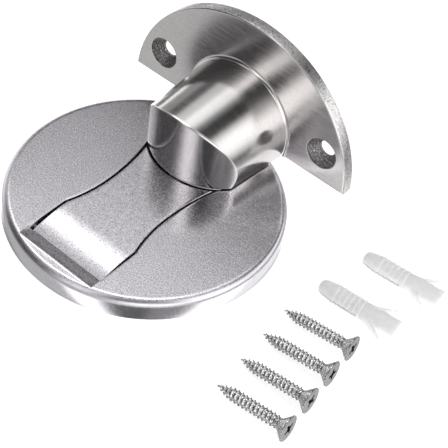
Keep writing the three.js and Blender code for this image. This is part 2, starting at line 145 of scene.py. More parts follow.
def lathe(profile, centre=(0, 0, 0), axis="Z", steps=48, name="turned"):
    """A (radius, height) profile from axis to axis, turned about an axis through centre."""
    shell = Shell()
    turn = {
        "Z": Matrix.Identity(3),
        "Y": Matrix(((1, 0, 0), (0, 0, 1), (0, -1, 0))),
        "X": Matrix(((0, 0, 1), (0, 1, 0), (-1, 0, 0))),
    }[axis]
    rings = []
    for r, h in profile:
        if r > ON_AXIS:
            points = [turn @ Vector((x, y, h)) + Vector(centre) for x, y in circle(r, steps)]
            rings.append(shell.ring(points))
        else:
            rings.append(turn @ Vector((0, 0, h)) + Vector(centre))
    for a, b in zip(rings, rings[1:]):
        if isinstance(a, Vector):
            shell.fan(b, a)
        elif isinstance(b, Vector):
            shell.fan(a, b)
        else:
            shell.skin(a, b)
    return shell.mesh_object(name)


def block(low, high):
    shell = Shell()
    (x0, y0, z0), (x1, y1, z1) = low, high
    bottom = shell.ring([(x0, y0, z0), (x1, y0, z0), (x1, y1, z0), (x0, y1, z0)])
    top = shell.ring([(x0, y0, z1), (x1, y0, z1), (x1, y1, z1), (x0, y1, z1)])
    shell.skin(bottom, top)
    shell.faces.extend([tuple(bottom), tuple(top)])
    return shell.mesh_object("block")


def quarter(r, steps=5):
    """(inset, drop) steps round an edge, from the top face to the side."""
    for i in range(steps + 1):
        a = 90 * DEG * i / steps
        yield r * (1 - math.sin(a)), r * (1 - math.cos(a))


# ---------------------------------------------------------------- flap outline

FLAP_GAP = 0.5
TIP_GAP = 0.25
NOSE_R = 15.0
FLAP_END_HALF = 9.35
WAIST_HALF = 7.7
TIP_HALF = 9.6
BLOCK_Y = -14.0
WAIST_Y = -3.5
TIP_Y = 11.0
HALVINGS = 50

disc_low, disc_high = node_box("floor_disc")
flap_low, flap_high = node_box("flap")
pin_low, pin_high = node_box("hinge_pin")
plate_low, plate_high = node_box("door_plate")
boss_low = node_box("magnet_boss")[0]

NOSE_Y = boss_low.y
NOSE_CENTRE_Y = NOSE_Y + NOSE_R
PIN_Y = (pin_low.y + pin_high.y) / 2
PIN_Z = (pin_low.z + pin_high.z) / 2
FLAP_END_Y = flap_low.y
KNUCKLE_R = PIN_Y - FLAP_END_Y
PIN_BORE_R = 0.82
PIN_BORE_STEPS = 32


def waist_arc_radius(along, out):
    """The arc that leaves the waist straight and is this far out after this far along."""
    return (along * along + out * out) / (2 * out)


REAR_ARC_R = waist_arc_radius(WAIST_Y - BLOCK_Y, FLAP_END_HALF - WAIST_HALF)
FRONT_ARC_R = waist_arc_radius(TIP_Y - WAIST_Y, TIP_HALF - WAIST_HALF)
TIP_ARC_R = NOSE_R + TIP_GAP


def side_x(y, grow):
    """Half width of the flap's outline, grown by this much, at y."""
    if y < BLOCK_Y:
        return FLAP_END_HALF + grow
    arc = REAR_ARC_R if y < WAIST_Y else FRONT_ARC_R
    x = WAIST_HALF + arc - math.sqrt(max(0.0, (arc - grow) ** 2 - (y - WAIST_Y) ** 2))
    return min(x, FLAP_END_HALF + grow) if y < WAIST_Y else x


def tip_y(x, grow):
    """Where the hollow end lies at x, for an outline grown by this much."""
    return NOSE_CENTRE_Y - math.sqrt((TIP_ARC_R - grow) ** 2 - x * x)


def corner_y(grow):
    """Where a side meets the hollow end."""
    low, high = WAIST_Y, NOSE_CENTRE_Y
    for _ in range(HALVINGS):
        y = (low + high) / 2
        if y < tip_y(side_x(y, grow), grow):
            low = y
        else:
            high = y
    return (low + high) / 2


def spread(a, b, count):
    """Numbers from a to b, with this many equal steps between them."""
    return [a + (b - a) * i / count for i in range(count + 1)]


# Rows lie closer together on the first share of the flap's length, where its underside is round.
END_STEPS = 30
KNUCKLE_SHARE = 0.13
KNUCKLE_STEPS = 24
REST_STEPS = 76
SIDE_SHARES = [KNUCKLE_SHARE * (1 - math.cos(90 * DEG * i / KNUCKLE_STEPS)) for i in range(KNUCKLE_STEPS)]
SIDE_SHARES += spread(KNUCKLE_SHARE, 1, REST_STEPS)
corner_y_of = {}


def outline_grid_point(share, across, grow):
    """A point of the flap's face: share runs from the hinge end to the nose, across from -1 to 1."""
    start = FLAP_END_Y - grow
    corner = corner_y_of[grow]
    y_side = start + (corner - start) * share
    x = across * side_x(y_side, grow)
    bend = share ** 3
    y_tip = tip_y(across * side_x(corner, grow), grow)
    return x, y_side + (y_tip - corner) * bend


def outline(grow):
    """The closed outline, grown by this much, counter-clockwise from the hinge end's left corner."""
    if grow not in corner_y_of:
        corner_y_of[grow] = corner_y(grow)
    points = [outline_grid_point(0, a, grow) for a in spread(-1, 1, END_STEPS)[:-1]]
    points += [outline_grid_point(s, 1, grow) for s in SIDE_SHARES[:-1]]
    points += [outline_grid_point(1, a, grow) for a in spread(1, -1, END_STEPS)[:-1]]
    points += [outline_grid_point(s, -1, grow) for s in SIDE_SHARES[:0:-1]]
    return points


# ---------------------------------------------------------------- floor disc

DISC_R = disc_high.x
DISC_TOP = disc_high.z
DISC_BOTTOM = disc_low.z
DISC_STEPS = 288
SHOULDER_R = 1.5
SHOULDER_STEPS = 12
LEAN = 0.35
PAD_GAP = 0.3
PAD_EDGE = 0.05
FOOT_EDGE = 0.2
FOOT_EDGE_MIDDLE = 0.06
# Width of the flat ring next to a rounded edge, which keeps the flat face's shading flat.
FLAT_MARGIN = 0.3
WEB_BOTTOM = 0.8
WEB_TOP = 1.6
FLOOR_HOLE_Y = (-14.4, 3.6)
FLOOR_HOLE_R = 2
FLOOR_HOLE_MOUTH_R = 2.8
FLOOR_HOLE_TOP = 2.1
PIN_END_GAP = 0.1
CUT_INSET = 0.01
WINDOW_TOP = WEB_TOP + 0.5
RIM_R = 0.22
FINGER_ROLL_Y = -27.5
FINGER_ROLL_R = 10.2
FINGER_ROLL_STEPS = 20
# How far a cutting shape runs past the face that it opens.
CUT_PAST = 1


def finger_roll(half):
    """What is cut off the top where it rolls down to the flap's end, so that a finger gets under."""
    recess_end = FLAP_END_Y - FLAP_GAP
    above = DISC_TOP + CUT_PAST
    section = [(recess_end + CUT_PAST, above), (FINGER_ROLL_Y, above)]
    for y in spread(FINGER_ROLL_Y, recess_end, FINGER_ROLL_STEPS):
        drop = FINGER_ROLL_R - math.sqrt(FINGER_ROLL_R ** 2 - (y - FINGER_ROLL_Y) ** 2)
        section.append((y, DISC_TOP - drop))
    section.append((recess_end + CUT_PAST, section[-1][1]))
    shell = Shell()
    ends = [shell.ring([(x, y, z) for y, z in section]) for x in (-half, half)]
    shell.skin(*ends)
    for end in ends:
        shell.cap(end)
    return shell.mesh_object("finger_roll")


def pin_bore(reach):
    """The round bore for the hinge pin, as far as this to each side."""
    profile = [(0, -reach), (PIN_BORE_R, -reach), (PIN_BORE_R, reach), (0, reach)]
    return lathe(profile, (0, PIN_Y, PIN_Z), "X", PIN_BORE_STEPS)


def make_disc():
    shell = Shell()
    pad_r = node_box("floor_pad")[1].x + PAD_GAP
    shoulder_x = DISC_R - LEAN - SHOULDER_R
    shoulder_z = DISC_TOP - SHOULDER_R
    wall = [
        (pad_r, WEB_BOTTOM),
        (pad_r, DISC_BOTTOM + PAD_EDGE),
        (pad_r + PAD_EDGE, DISC_BOTTOM),
        (DISC_R - FOOT_EDGE, DISC_BOTTOM),
        (DISC_R - FOOT_EDGE_MIDDLE, DISC_BOTTOM + FOOT_EDGE_MIDDLE),
        (DISC_R, DISC_BOTTOM + FOOT_EDGE),
    ]
    for i in range(SHOULDER_STEPS + 1):
        a = 90 * DEG * i / SHOULDER_STEPS
        wall.append((shoulder_x + SHOULDER_R * math.cos(a), shoulder_z + SHOULDER_R * math.sin(a)))
    wall.append((shoulder_x - FLAT_MARGIN, DISC_TOP))
    rings = [shell.ring([(x, y, z) for x, y in circle(r, DISC_STEPS)]) for r, z in wall]
    shell.skin(*rings)
    shell.cap(rings[0])

    edge = [shell.ring([(x, y, DISC_TOP) for x, y in outline(FLAP_GAP + RIM_R + FLAT_MARGIN)])]
    for inset, drop in quarter(RIM_R):
        edge.append(shell.ring([(x, y, DISC_TOP - drop) for x, y in outline(FLAP_GAP + inset)]))
    edge.append(shell.ring([(x, y, WEB_TOP) for x, y in outline(FLAP_GAP)]))
    shell.skin(*edge)
    shell.cap(rings[-1], edge[0])
    shell.cap(edge[-1])
    disc = shell.mesh_object("floor_disc_satin")

    half = FLAP_END_HALF + FLAP_GAP - CUT_INSET
    back = FLAP_END_Y - FLAP_GAP + CUT_INSET
    window = block((-half, back, 0), (half, PIN_Y + KNUCKLE_R + FLAP_GAP, WINDOW_TOP))
    reach = pin_high.x + PIN_END_GAP
    slot = block((-reach, PIN_Y - PIN_BORE_R, 0), (reach, PIN_Y + PIN_BORE_R, PIN_Z))
    hole = [
        (0, 0),
        (FLOOR_HOLE_R, 0),
        (FLOOR_HOLE_R, WEB_BOTTOM),
        (FLOOR_HOLE_MOUTH_R, WEB_TOP),
        (FLOOR_HOLE_MOUTH_R, FLOOR_HOLE_TOP),
        (0, FLOOR_HOLE_TOP),
    ]
    seat = pin_bore(reach)
    holes = [lathe(hole, (0, y, 0)) for y in FLOOR_HOLE_Y]
    cut_away(disc, finger_roll(half), window, slot, seat, *holes)
    shade(disc)
    return disc


# ---------------------------------------------------------------- flap

FLAP_TOP = flap_high.z
FLAP_BOTTOM = 2.9
ROLL_R = 27.0
ROLL_START_Y = FLAP_END_Y + 8.5
FLAP_EDGE_R = 0.16
ARMATURE_GAP = 0.15
ARMATURE_TOP_GAP = 0.02


def flap_top_z(y):
    """The top: flat, and rolled down towards the hinge end."""
    if y >= ROLL_START_Y:
        return FLAP_TOP
    return FLAP_TOP - ROLL_R + math.sqrt(ROLL_R ** 2 - (ROLL_START_Y - y) ** 2)


def flap_bottom_z(y):
    """The underside: flat, and round about the pin at the hinge end."""
    from_pin = y - PIN_Y
    if from_pin >= KNUCKLE_R:
        return FLAP_BOTTOM
    return min(FLAP_BOTTOM, PIN_Z - math.sqrt(max(0.0, KNUCKLE_R ** 2 - from_pin ** 2)))


def make_flap():
    shell = Shell()

    def face(grow, height):
        """A grid of rings over the whole face, and its rim in the outline's order."""
        outline(grow)  # works out the corner that the grid points need
        rows = []
        for share in SIDE_SHARES:
            row = [outline_grid_point(share, a, grow) for a in spread(-1, 1, END_STEPS)]
            rows.append(shell.ring([(x, y, height(y)) for x, y in row]))
        shell.skin(*rows, closed=False)
        rim = rows[0][:-1] + [r[-1] for r in rows[:-1]]
        return rim + rows[-1][:0:-1] + [r[0] for r in rows[:0:-1]]

    top = face(-FLAP_EDGE_R, flap_top_z)
    edge = [top]
    for inset, drop in list(quarter(FLAP_EDGE_R))[1:]:
        edge.append(shell.ring([(x, y, flap_top_z(y) - drop) for x, y in outline(-inset)]))
    bottom = face(0, flap_bottom_z)
    shell.skin(*edge, bottom)
    flap = shell.mesh_object("flap_satin")

    armature_low, armature_high = node_box("flap_armature")
    side = armature_high.x + ARMATURE_GAP
    pocket = block(
        (-side, armature_low.y - ARMATURE_GAP, 0),
        (side, armature_high.y + ARMATURE_GAP, armature_high.z + ARMATURE_TOP_GAP),
    )
    cut_away(flap, pocket, pin_bore(FLAP_END_HALF + CUT_PAST))
    shade(flap)
    return flap


# ---------------------------------------------------------------- door plate

PLATE_R = plate_high.x
PLATE_CENTRE_Z = plate_high.z - PLATE_R
CHORD_Z = plate_low.z
PLATE_FRONT = plate_low.y
PLATE_BACK = plate_high.y
PLATE_EDGE_R = 0.3
PLATE_ARC_STEPS = 220
PLATE_CHORD_STEPS = 60
# Holes are (x to each side, z), and their cones run between two depths: from the front, or from the back.
PLATE_HOLE = (22.3, 12.3)
HOLE_STEPS = 56
HOLE_R = 1.9
HOLE_MOUTH_R = 3.7
HOLE_CONE = (0.5, 2.3)
MOUTH_EDGE_R = 0.1
MOUTH_MARGIN = 0.35
REAR_HOLE = (9.9, 11.4)
REAR_HOLE_R = 1.5
REAR_HOLE_MOUTH_R = 2.7
REAR_HOLE_CONE = (1.3, 0.1)
# Slot for the door holes' countersinks and bores, which are tinted dark as painted shade.
HOLE_SHADE_SLOT = 1
RIM_SLOT = 2
RIM_DEPTH = 0.5
MARK_MARGIN = 0.01
SIDEWAYS = 0.5


def make_plate():
    shell = Shell()

    def rim(inset, y):
        r = PLATE_R - inset
        chord = CHORD_Z + inset
        turn = math.asin((chord - PLATE_CENTRE_Z) / r)
        angles = spread(turn, math.pi - turn, PLATE_ARC_STEPS)
        arc = [(r * math.cos(a), y, PLATE_CENTRE_Z + r * math.sin(a)) for a in angles]
        half = r * math.cos(turn)
        return shell.ring(arc + [(x, y, chord) for x in spread(-half, half, PLATE_CHORD_STEPS)[1:-1]])

    def hole(x, z, profile):
        """Rings down a hole, from a (radius, y) profile."""
        rings = []
        for r, y in profile:
            rings.append(shell.ring([(x + across, y, z + up) for across, up in circle(r, HOLE_STEPS)]))
        return rings

    rims = [rim(PLATE_EDGE_R + FLAT_MARGIN, PLATE_FRONT)]
    rims += [rim(inset, PLATE_FRONT + drop) for inset, drop in quarter(PLATE_EDGE_R)]
    rims += [rim(inset, PLATE_BACK - drop) for inset, drop in reversed(list(quarter(PLATE_EDGE_R)))]
    rims.append(rim(PLATE_EDGE_R + FLAT_MARGIN, PLATE_BACK))
    shell.skin(*rims)

    cone_from, cone_to = HOLE_CONE
    door_profile = [(HOLE_MOUTH_R + MOUTH_MARGIN, PLATE_FRONT)]
    door_profile += [(HOLE_MOUTH_R + inset, PLATE_FRONT + drop) for inset, drop in quarter(MOUTH_EDGE_R)]
    door_profile += [
        (HOLE_MOUTH_R, PLATE_FRONT + cone_from),
        (HOLE_R, PLATE_FRONT + cone_to),
        (HOLE_R, PLATE_BACK),
    ]
    cone_from, cone_to = REAR_HOLE_CONE
    rear_profile = [
        (REAR_HOLE_R, PLATE_FRONT),
        (REAR_HOLE_R, PLATE_BACK - cone_from),
        (REAR_HOLE_MOUTH_R, PLATE_BACK - cone_to),
        (REAR_HOLE_MOUTH_R, PLATE_BACK),
    ]
    fronts, backs = [], []
    for side in (-1, 1):
        door = hole(side * PLATE_HOLE[0], PLATE_HOLE[1], door_profile)
        rear = hole(side * REAR_HOLE[0], REAR_HOLE[1], rear_profile)
        for rings in (door, rear):
            shell.skin(*rings)
            fronts.append(rings[0])
            backs.append(rings[-1])
    shell.cap(rims[0], *fronts)
    shell.cap(rims[-1], *backs)
    plate = shell.mesh_object("door_plate_satin")
    shade(plate)
    for face in plate.data.polygons:
        at = face.center / MM
        from_hole = math.hypot(abs(at.x) - PLATE_HOLE[0], at.z - PLATE_HOLE[1])
        from_centre = math.hypot(at.x, at.z - PLATE_CENTRE_Z)
        # Faces in the door holes' countersinks and bores take the dark tint: painted shade in the recess.
        if from_hole < HOLE_MOUTH_R + MARK_MARGIN:
            face.material_index = HOLE_SHADE_SLOT
        elif abs(face.normal.y) < SIDEWAYS and from_centre > PLATE_R - RIM_DEPTH:
            face.material_index = RIM_SLOT
    return plate


# ---------------------------------------------------------------- magnet boss

BOSS_ROOT_R = 13.6
BOSS_TAPER = 0.075
BOSS_FILLET_R = 0.8
BOSS_Z = 8.6
BOSS_ARC_STEPS = 150
BOSS_CHORD_STEPS = 60
# Rings from nose to plate, closer together in the fillet.
BOSS_SHARES = spread(0, 0.96, 26) + spread(0.966, 1, 14)
SETTLING_STEPS = 30
# Rings over the nose's face, from its rim in to its middle.
NOSE_RINGS = (0.97, 0.92, 0.84, 0.75, 0.65, 0.55, 0.45, 0.35, 0.25, 0.15, 0.07)
NOSE_MIDDLE_Z = BOSS_Z + 2
NOSE_EDGE = 0.18
CRISP_ANGLE = 30 * DEG
MAGNET_GAP = 0.3
TAPPED_FROM_Y = 22.6
TAPPED_STEPS = 24


def boss_radius(y):
    fillet_y = PLATE_FRONT - BOSS_FILLET_R
    r = BOSS_ROOT_R - BOSS_TAPER * (PLATE_FRONT - min(y, fillet_y))
    if y > fillet_y:
        r += BOSS_FILLET_R - math.sqrt(max(0.0, BOSS_FILLET_R ** 2 - (y - fillet_y) ** 2))
    return r


def make_boss():
    shell = Shell()

    def nose_y(x):
        return NOSE_CENTRE_Y - math.sqrt(NOSE_R ** 2 - x * x)

    def section(share):
        """One ring round the boss, from the nose at share 0 to the plate at share 1."""
        points = []

        def place(angle_of):
            """Settles y, because the radius and the nose's front both follow from it."""
            y = NOSE_Y
            for _ in range(SETTLING_STEPS):
                r = boss_radius(y)
                turn = angle_of(math.asin((BOSS_Z - CHORD_Z) / r))
                front = nose_y(r * math.cos(turn))
                y = front + (PLATE_FRONT - front) * share
            return r * math.cos(turn), y, BOSS_Z + r * math.sin(turn)

        for k in range(BOSS_ARC_STEPS + 1):
            points.append(place(lambda drop: -drop + (math.pi + 2 * drop) * k / BOSS_ARC_STEPS))
        left, right = points[-1], points[0]
        for x in spread(left[0], right[0], BOSS_CHORD_STEPS)[1:-1]:
            front = nose_y(x)
            points.append((x, front + (PLATE_FRONT - front) * share, CHORD_Z))
        return points

    rings = [shell.ring(section(s)) for s in BOSS_SHARES]
    shell.skin(*rings)
    shell.cap(rings[-1])
    rim = [Vector(shell.points[i]) for i in rings[0]]
    face = [rings[0]]
    for scale in NOSE_RINGS:
        inner = []
        for p in rim:
            x = p.x * scale
            inner.append((x, nose_y(x), NOSE_MIDDLE_Z + (p.z - NOSE_MIDDLE_Z) * scale))
        face.append(shell.ring(inner))
    shell.skin(*face)
    shell.fan(face[-1], (0, NOSE_Y, NOSE_MIDDLE_Z))
    boss = shell.mesh_object("magnet_boss_satin", (0, 0, BOSS_Z))

    bm = bmesh.new()
    bm.from_mesh(boss.data)
    crisp = [
        e
        for e in bm.edges
        if len(e.link_faces) == 2
        and e.calc_face_angle(0) > CRISP_ANGLE
        and max(v.co.y for v in e.verts) < (PLATE_FRONT - BOSS_FILLET_R) * MM
    ]
    bmesh.ops.bevel(
        bm, geom=crisp, offset=NOSE_EDGE * MM, offset_type="OFFSET", segments=3, profile=0.5,
        affect="EDGES", clamp_overlap=True,
    )
    bm.to_mesh(boss.data)
    bm.free()

    magnet_low, magnet_high = node_box("magnet")
    pocket_z = (magnet_low.z + magnet_high.z) / 2
    past = PLATE_FRONT + CUT_PAST

    def drilled(r, start, x, z, steps):
        """A round hole along Y, open at the back."""
        return lathe([(0, start), (r, start), (r, past), (0, past)], (x, 0, z), "Y", steps)

    pocket = drilled(magnet_high.x + MAGNET_GAP, magnet_low.y - MAGNET_GAP, 0, pocket_z, 48)
    tapped = []
    for side in (-1, 1):
        tapped.append(drilled(REAR_HOLE_R, TAPPED_FROM_Y, side * REAR_HOLE[0], REAR_HOLE[1], TAPPED_STEPS))
    cut_away(boss, pocket, *tapped)
    shade(boss, 40)
    return boss


# ---------------------------------------------------------------- loose screws

SCREW_LENGTH = 15.8
SCREW_R = 1.4
SCREW_CORE_R = 1.12
SCREW_TIP = 3.4
SCREW_HEAD_R = 2.7
SCREW_HEAD_CONE = 1.5
SCREW_RIM = 0.3
SCREW_POINT_R = 0.06
POINT_H = 0.02
SCREW_AROUND = 48
SCREW_ALONG = 230
SCREW_YAW = 2.5
SPIN_FIRST = 17
SPIN_STEP = 31
PITCH = 0.88
CREST_HALF_WIDTH = 0.34
POINT_SHARE = 0.12
RUN_OUT_START = 0.15
RUN_OUT = 0.7
NECK_FLARE = 0.5
NECK_FLARE_R = 0.25
HEAD_START = (1.5, 0.25)
# How far in from the head's radius, and down from its end, its edge runs.
HEAD_EDGE = [(0.03, SCREW_RIM), (0, 0.24), (0, 0.14), (0.05, 0.05), (0.18, 0), (0.5, 0)]
CROSS_DEPTH = 1.25
CROSS_REACH = 1.6
# Half length and half width of one blade of the cross, where it is deepest and above the head.
BLADE_BOTTOM = (0.75, 0.2)
BLADE_TOP = (1.75, 0.38)
CROSS_MIDDLE = [(0, -1.5), (0.55, -1.2), (0.8, 1), (0, 1)]
CROSS_MIDDLE_STEPS = 20
HEAD_DEPTH = 0.3
UPRIGHT = 0.6
HEAD_SLOT = 1
# Slot for the cross recess, which is tinted near-black as painted shade.
CROSS_SHADE_SLOT = 2


def make_blade(turned):
    """One tapered blade of the cross recess."""
    blade = Shell()
    rings = []
    bottom_z = SCREW_LENGTH - CROSS_DEPTH
    top_z = SCREW_LENGTH + CUT_PAST
    for (half, thick), z in ((BLADE_BOTTOM, bottom_z), (BLADE_TOP, top_z)):
        rings.append(blade.ring([(-half, -thick, z), (half, -thick, z), (half, thick, z), (-half, thick, z)]))
    blade.skin(*rings)
    blade.faces.extend(tuple(ring) for ring in rings)
    piece = blade.mesh_object("blade")
    piece.rotation_euler = (0, 0, turned * DEG)
    return piece


def make_screw_mesh():
    """A tapping screw along +Z, tip at the origin, with a running thread and a cross recess."""
    shell = Shell()
    neck = SCREW_LENGTH - SCREW_RIM - SCREW_HEAD_CONE

    def radius(h, angle):
        outer = SCREW_R * min(1.0, POINT_SHARE + (1 - POINT_SHARE) * (h / SCREW_TIP) ** 0.72)
        core = SCREW_CORE_R * min(1.0, (h / (SCREW_TIP * 1.12)) ** 0.85)
        phase = (h / PITCH - angle / (2 * math.pi)) % 1.0
        crest = max(0.0, 1 - abs(phase - 0.5) / CREST_HALF_WIDTH) ** 1.2
        run_out = min(1.0, max(0.0, (neck - RUN_OUT_START - h) / RUN_OUT))
        r = core + (outer - core) * crest * run_out
        if h > neck - NECK_FLARE:
            flare = (h - neck + NECK_FLARE) / NECK_FLARE
            r = max(r, core + NECK_FLARE_R * flare * flare)
        return max(r, SCREW_POINT_R)

    rings = []
    angles = [2 * math.pi * i / SCREW_AROUND for i in range(SCREW_AROUND)]
    for h in spread(POINT_H, neck, SCREW_ALONG):
        points = [(radius(h, a) * math.cos(a), radius(h, a) * math.sin(a), h) for a in angles]
        rings.append(shell.ring(points))
    head = [(HEAD_START[0], neck + HEAD_START[1])]
    head += [(SCREW_HEAD_R - inset, SCREW_LENGTH - drop) for inset, drop in HEAD_EDGE]
    for r, h in head:
        rings.append(shell.ring([(x, y, h) for x, y in circle(r, SCREW_AROUND)]))
    shell.skin(*rings)
    shell.fan(rings[0], (0, 0, 0))
    shell.cap(rings[-1])
    screw = shell.mesh_object("screw_master")

    blades = [make_blade(turned) for turned in (0, 90)]
    middle = lathe([(r, SCREW_LENGTH + h) for r, h in CROSS_MIDDLE], steps=CROSS_MIDDLE_STEPS)
    cut_away(screw, middle, *blades)
    shade(screw, 38)
    mesh = screw.data
    bpy.data.objects.remove(screw)
    return mesh


def head_faces(mesh):
    """Marks the flat end of the head, which takes a darker grey, and the cross recess, which takes near-black
    painted shade.
    """
    for face in mesh.polygons:
        at = face.center / MM
        if face.normal.z > UPRIGHT and at.z > SCREW_LENGTH - HEAD_DEPTH:
            face.material_index = HEAD_SLOT
        # Faces down in the cross recess take the near-black tint: painted shade in the recess.
        elif at.z > SCREW_LENGTH - CROSS_DEPTH and math.hypot(at.x, at.y) < CROSS_REACH:
            face.material_index = CROSS_SHADE_SLOT


def laid_in_node_box(mesh, turn, node):
    """Where a turned mesh goes to share its node's far end along X, middle line and lowest point."""
    low, high = node_box(node)
    points = [turn @ (v.co / MM) for v in mesh.vertices]
    mine_low = Vector(tuple(min(p[k] for p in points) for k in range(3)))
    mine_high = Vector(tuple(max(p[k] for p in points) for k in range(3)))
    middle = (low.y + high.y - mine_low.y - mine_high.y) / 2
    shift = Vector((high.x - mine_high.x, middle, low.z - mine_low.z))
    return Matrix.Translation(shift * MM) @ turn


def placed_copy(name, mesh, place, body):
    """A copy of a mesh, in place, that stands for the CAD node of its body."""
    copy = mesh.copy()
    copy.transform(place)
    piece = bpy.data.objects.new(name, copy)
    bpy.context.scene.collection.objects.link(piece)
    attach(piece, body)
    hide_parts(body)
    return piece


def place_screws():
    """Four screws, each lying on its shank and its head's rim, and each turned by its own spin."""
    mesh = make_screw_mesh()
    climb = math.atan((SCREW_HEAD_R - SCREW_R) / (SCREW_LENGTH - SCREW_RIM - SCREW_TIP))
    lie = Matrix.Rotation(SCREW_YAW * DEG, 4, "Z") @ Matrix.Rotation(90 * DEG - climb, 4, "Y")
    head_faces(mesh)
    made = []
    for i in range(4):
        spin = Matrix.Rotation((SPIN_FIRST + SPIN_STEP * i) * DEG, 4, "Z")
        body = f"wood_screw_{i + 1}"
        place = laid_in_node_box(mesh, lie @ spin, body)
        made.append(placed_copy(body + "_threaded", mesh, place, body))
    return made


# ---------------------------------------------------------------- loose wall anchors

ANCHOR_LENGTH = 18.0
ANCHOR_R = 2.2
ANCHOR_YAW = 4.5
ANCHOR_STEPS = 64
RIB_FROM = 3.4
RIB_TO = 10.2
RIB_PITCH = 1.15
# Profiles are (radius, height) from the tip. A rib repeats, with its heights from its own start.
RIB = [(2.08, 0), (2.16, 0.55), (2.16, 0.75), (2.02, 0.86)]
TIP_PROFILE = [(0, 0.02), (0.7, 0.05), (1.15, 0.22), (1.5, 0.6), (1.72, 1.2), (1.86, 2.0), (1.98, 3.0)]
SLEEVE_PROFILE = [(2.08, 10.6), (2.15, 11.0), (ANCHOR_R - 0.04, 12), (ANCHOR_R, 16.6)]
COLLAR_PROFILE = [(2.26, 17.0), (2.3, 17.3), (2.3, 17.8), (2.24, 17.95)]
COLLAR_PROFILE += [(2.12, ANCHOR_LENGTH), (0, ANCHOR_LENGTH)]
BORE_PROFILE = [(0, 4), (1.1, 4), (1.25, 6), (1.25, 17.5), (1.5, 18.05), (1.5, 19), (0, 19)]
BORE_STEPS = 40
SPLIT_HALF = 0.25
SPLIT_TO = 9.5
BARB_ROOT = 11.0
BARB_RUN = 5.0
BARB_RISE = 2.75
BARB_START = ANCHOR_R - 0.75
BARB_RINGS = 16
BARB_AROUND = 16
BARB_SQUARENESS = 0.55


def make_barb(side):
    """A thin tongue that leans out of the sleeve towards the mouth, with a soft square section."""
    barb = Shell()
    rings = []
    for i in range(BARB_RINGS + 1):
        t = i / BARB_RINGS
        out = BARB_START + BARB_RISE * t ** 1.15
        along = BARB_ROOT + BARB_RUN * t
        thick = 0.62 - 0.34 * t
        half = (1.05 - 0.5 * t ** 3) * (1 if t < 0.94 else 0.75)
        ring = []
        for c, s in circle(1, BARB_AROUND):
            w = half * math.copysign(abs(c) ** BARB_SQUARENESS, c)
            d = thick / 2 * math.copysign(abs(s) ** BARB_SQUARENESS, s)
            ring.append((side * (out + d * 0.88), w, along - d * 0.47))
        rings.append(barb.ring(ring))
    barb.skin(*rings)
    barb.cap(rings[0])
    barb.cap(rings[-1])
    return barb.mesh_object("barb")


def make_anchor_mesh():
    """A nylon anchor along +Z: split rounded tip at the origin, open mouth at the far end."""
    profile = list(TIP_PROFILE)
    rib_start = RIB_FROM
    while rib_start < RIB_TO:
        profile += [(r, rib_start + h) for r, h in RIB]
        rib_start += RIB_PITCH
    profile += SLEEVE_PROFILE + COLLAR_PROFILE
    anchor = lathe(profile, steps=ANCHOR_STEPS, name="anchor_master")
    combine(anchor, "UNION", [make_barb(side) for side in (-1, 1)])
    split = block((-4, -SPLIT_HALF, -1), (4, SPLIT_HALF, SPLIT_TO))
    cut_away(anchor, lathe(BORE_PROFILE, steps=BORE_STEPS, name="bore"), split)
    shade(anchor, 40)
    mesh = anchor.data
    bpy.data.objects.remove(anchor)
    return mesh


def place_anchors():
    mesh = make_anchor_mesh()
    made = []
    lie = Matrix.Rotation(90 * DEG, 4, "X") @ Matrix.Rotation((90 + ANCHOR_YAW) * DEG, 4, "Y")
    for i in range(2):
        body = f"wall_anchor_{i + 1}"
        place = laid_in_node_box(mesh, lie, body)
        made.append(placed_copy(body + "_moulded", mesh, place, body))
    return made


# ---------------------------------------------------------------- materials

EVEN = (1, 1, 1)
CLOUDS_PER_METRE = 90.0
GRIT_PER_METRE = 4300.0
TOP_FROM_TO = (0.8, 0.97)


class Nodes:
    """A short way to write a node tree."""

    def __init__(self, tree):
        self.tree = tree
        tree.nodes.clear()

    def add(self, kind, inputs=None, **settings):
        node = self.tree.nodes.new(kind)
        for key, value in settings.items():
            setattr(node, key, value)
        for key, value in (inputs or {}).items():
            if isinstance(value, bpy.types.NodeSocket):
                self.tree.links.new(value, node.inputs[key])
            else:
                node.inputs[key].default_value = value
        return node

    def math(self, operation, a, b=0.0):
        return self.add("ShaderNodeMath", {0: a, 1: b}, operation=operation).outputs[0]

    def product(self, a, b):
        return self.math("MULTIPLY", a, b)

    def remap(self, value, a, b, to_a=0.0, to_b=1.0, smooth=False):
        kind = "SMOOTHSTEP" if smooth else "LINEAR"
        inputs = {"Value": value, 1: a, 2: b, 3: to_a, 4: to_b}
        return self.add("ShaderNodeMapRange", inputs, interpolation_type=kind).outputs[0]


def stretched(nodes, scale):
    """Object coordinates scaled differently along each axis, for grain that runs one way."""
    place = nodes.add("ShaderNodeTexCoord").outputs["Object"]
    return nodes.add("ShaderNodeVectorMath", {0: place, 1: scale}, operation="MULTIPLY").outputs[0]


def noise(nodes, vector, scale, detail=3.0, roughness=0.6):
    inputs = {"Vector": vector, "Scale": scale, "Detail": detail, "Roughness": roughness}
    return nodes.add("ShaderNodeTexNoise", inputs).outputs["Fac"]


